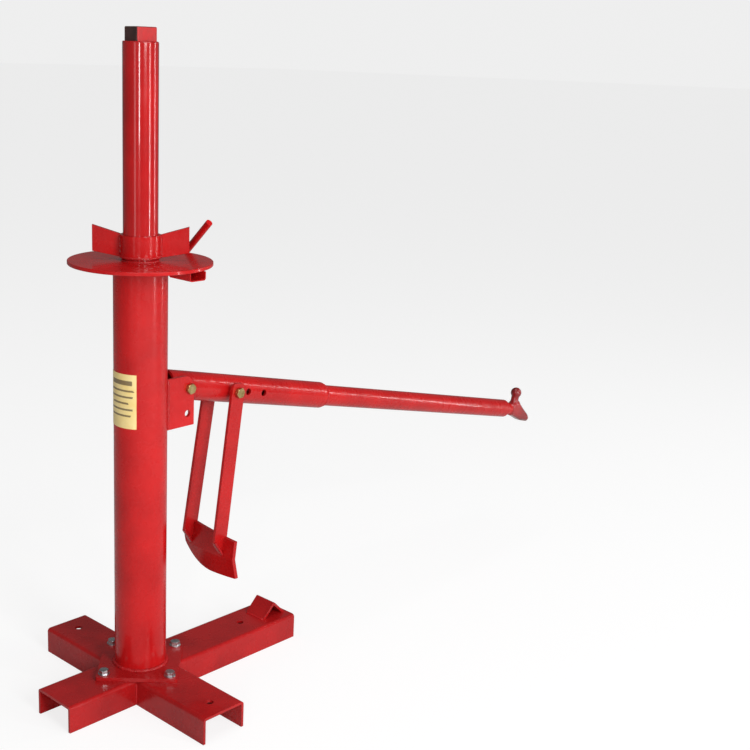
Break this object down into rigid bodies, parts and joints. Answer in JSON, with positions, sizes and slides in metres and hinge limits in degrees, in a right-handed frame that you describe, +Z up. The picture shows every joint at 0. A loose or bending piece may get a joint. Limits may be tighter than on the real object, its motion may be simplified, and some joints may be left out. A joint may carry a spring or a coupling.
{
  "type": "manual tyre changer",
  "caption": "Free-standing manual tyre changer: channel base, column, wheel table, centre post, hub collar, drive pin and a hinged bead-breaker arm with a shoe and a mount bar.",
  "frame": {"origin": "on the column axis, at floor level", "axes": "+Z up along the column; +X along the long leg and the arm; +Y to the left when looking along +X"},
  "size_m": [1.1444, 0.372, 0.958],
  "materials": {
    "red_paint": "gloss red enamel over welded steel",
    "white_zinc": "bright zinc plate",
    "yellow_zinc": "yellow zinc plate",
    "label": "plain cream yellow label"
  },
  "bodies": {
    "stand": {"long_leg": "red_paint", "side_leg_left": "red_paint", "side_leg_right": "red_paint", "foot_plate": "red_paint", "foot_bolts": "white_zinc", "foot_washers": "white_zinc", "foot_nuts": "white_zinc", "tyre_stop": "red_paint", "column_tube": "red_paint", "label_plate": "label", "bracket_plate_left": "red_paint", "bracket_plate_right": "red_paint", "wheel_table": "red_paint", "pin_guide_front": "red_paint", "pin_guide_side": "red_paint", "centre_post": "red_paint", "square_drive": "red_paint", "pivot_bolt": "yellow_zinc", "pivot_nut": "yellow_zinc", "pivot_washer": "yellow_zinc"},
    "hub_collar": {"hub_collar_sleeve": "red_paint", "hub_collar_wing_left": "red_paint", "hub_collar_wing_right": "red_paint"},
    "drive_pin": {"drive_pin": "red_paint"},
    "arm": {"arm_tube": "red_paint", "handle_tube": "red_paint", "shoe_bolt": "yellow_zinc", "shoe_nut": "yellow_zinc", "shoe_spacers": "red_paint"},
    "shoe": {"shoe_bar_left": "red_paint", "shoe_bar_right": "red_paint", "shoe_blade": "red_paint"},
    "mount_bar": {"mount_bar_rod": "red_paint", "mount_bar_head": "red_paint"}
  },
  "joints": [
    {"name": "arm_pivot", "type": "hinge", "parent": "stand", "child": "arm", "pos_m": [0.0688, 0, 0.4612], "axis": [0, -1, 0], "range_deg": [0, 25]},
    {"name": "shoe_swing", "type": "hinge", "parent": "arm", "child": "shoe", "pos_m": [0.15931, 0, 0.44072], "axis": [0, -1, 0], "range_deg": [-12, 60]},
    {"name": "mount_bar_slide", "type": "slide", "parent": "arm", "child": "mount_bar", "axis": [0.9753, 0, -0.2207], "range_m": [0, 0.56]},
    {"name": "hub_collar_lift", "type": "slide", "parent": "stand", "child": "hub_collar", "axis": [0, 0, 1], "range_m": [0, 0.3]},
    {"name": "drive_pin_swivel", "type": "hinge", "parent": "stand", "child": "drive_pin", "pos_m": [0.077, 0.0372, 0.6397], "axis": [1, 0, 0], "range_deg": [-130, 40]}
  ]
}
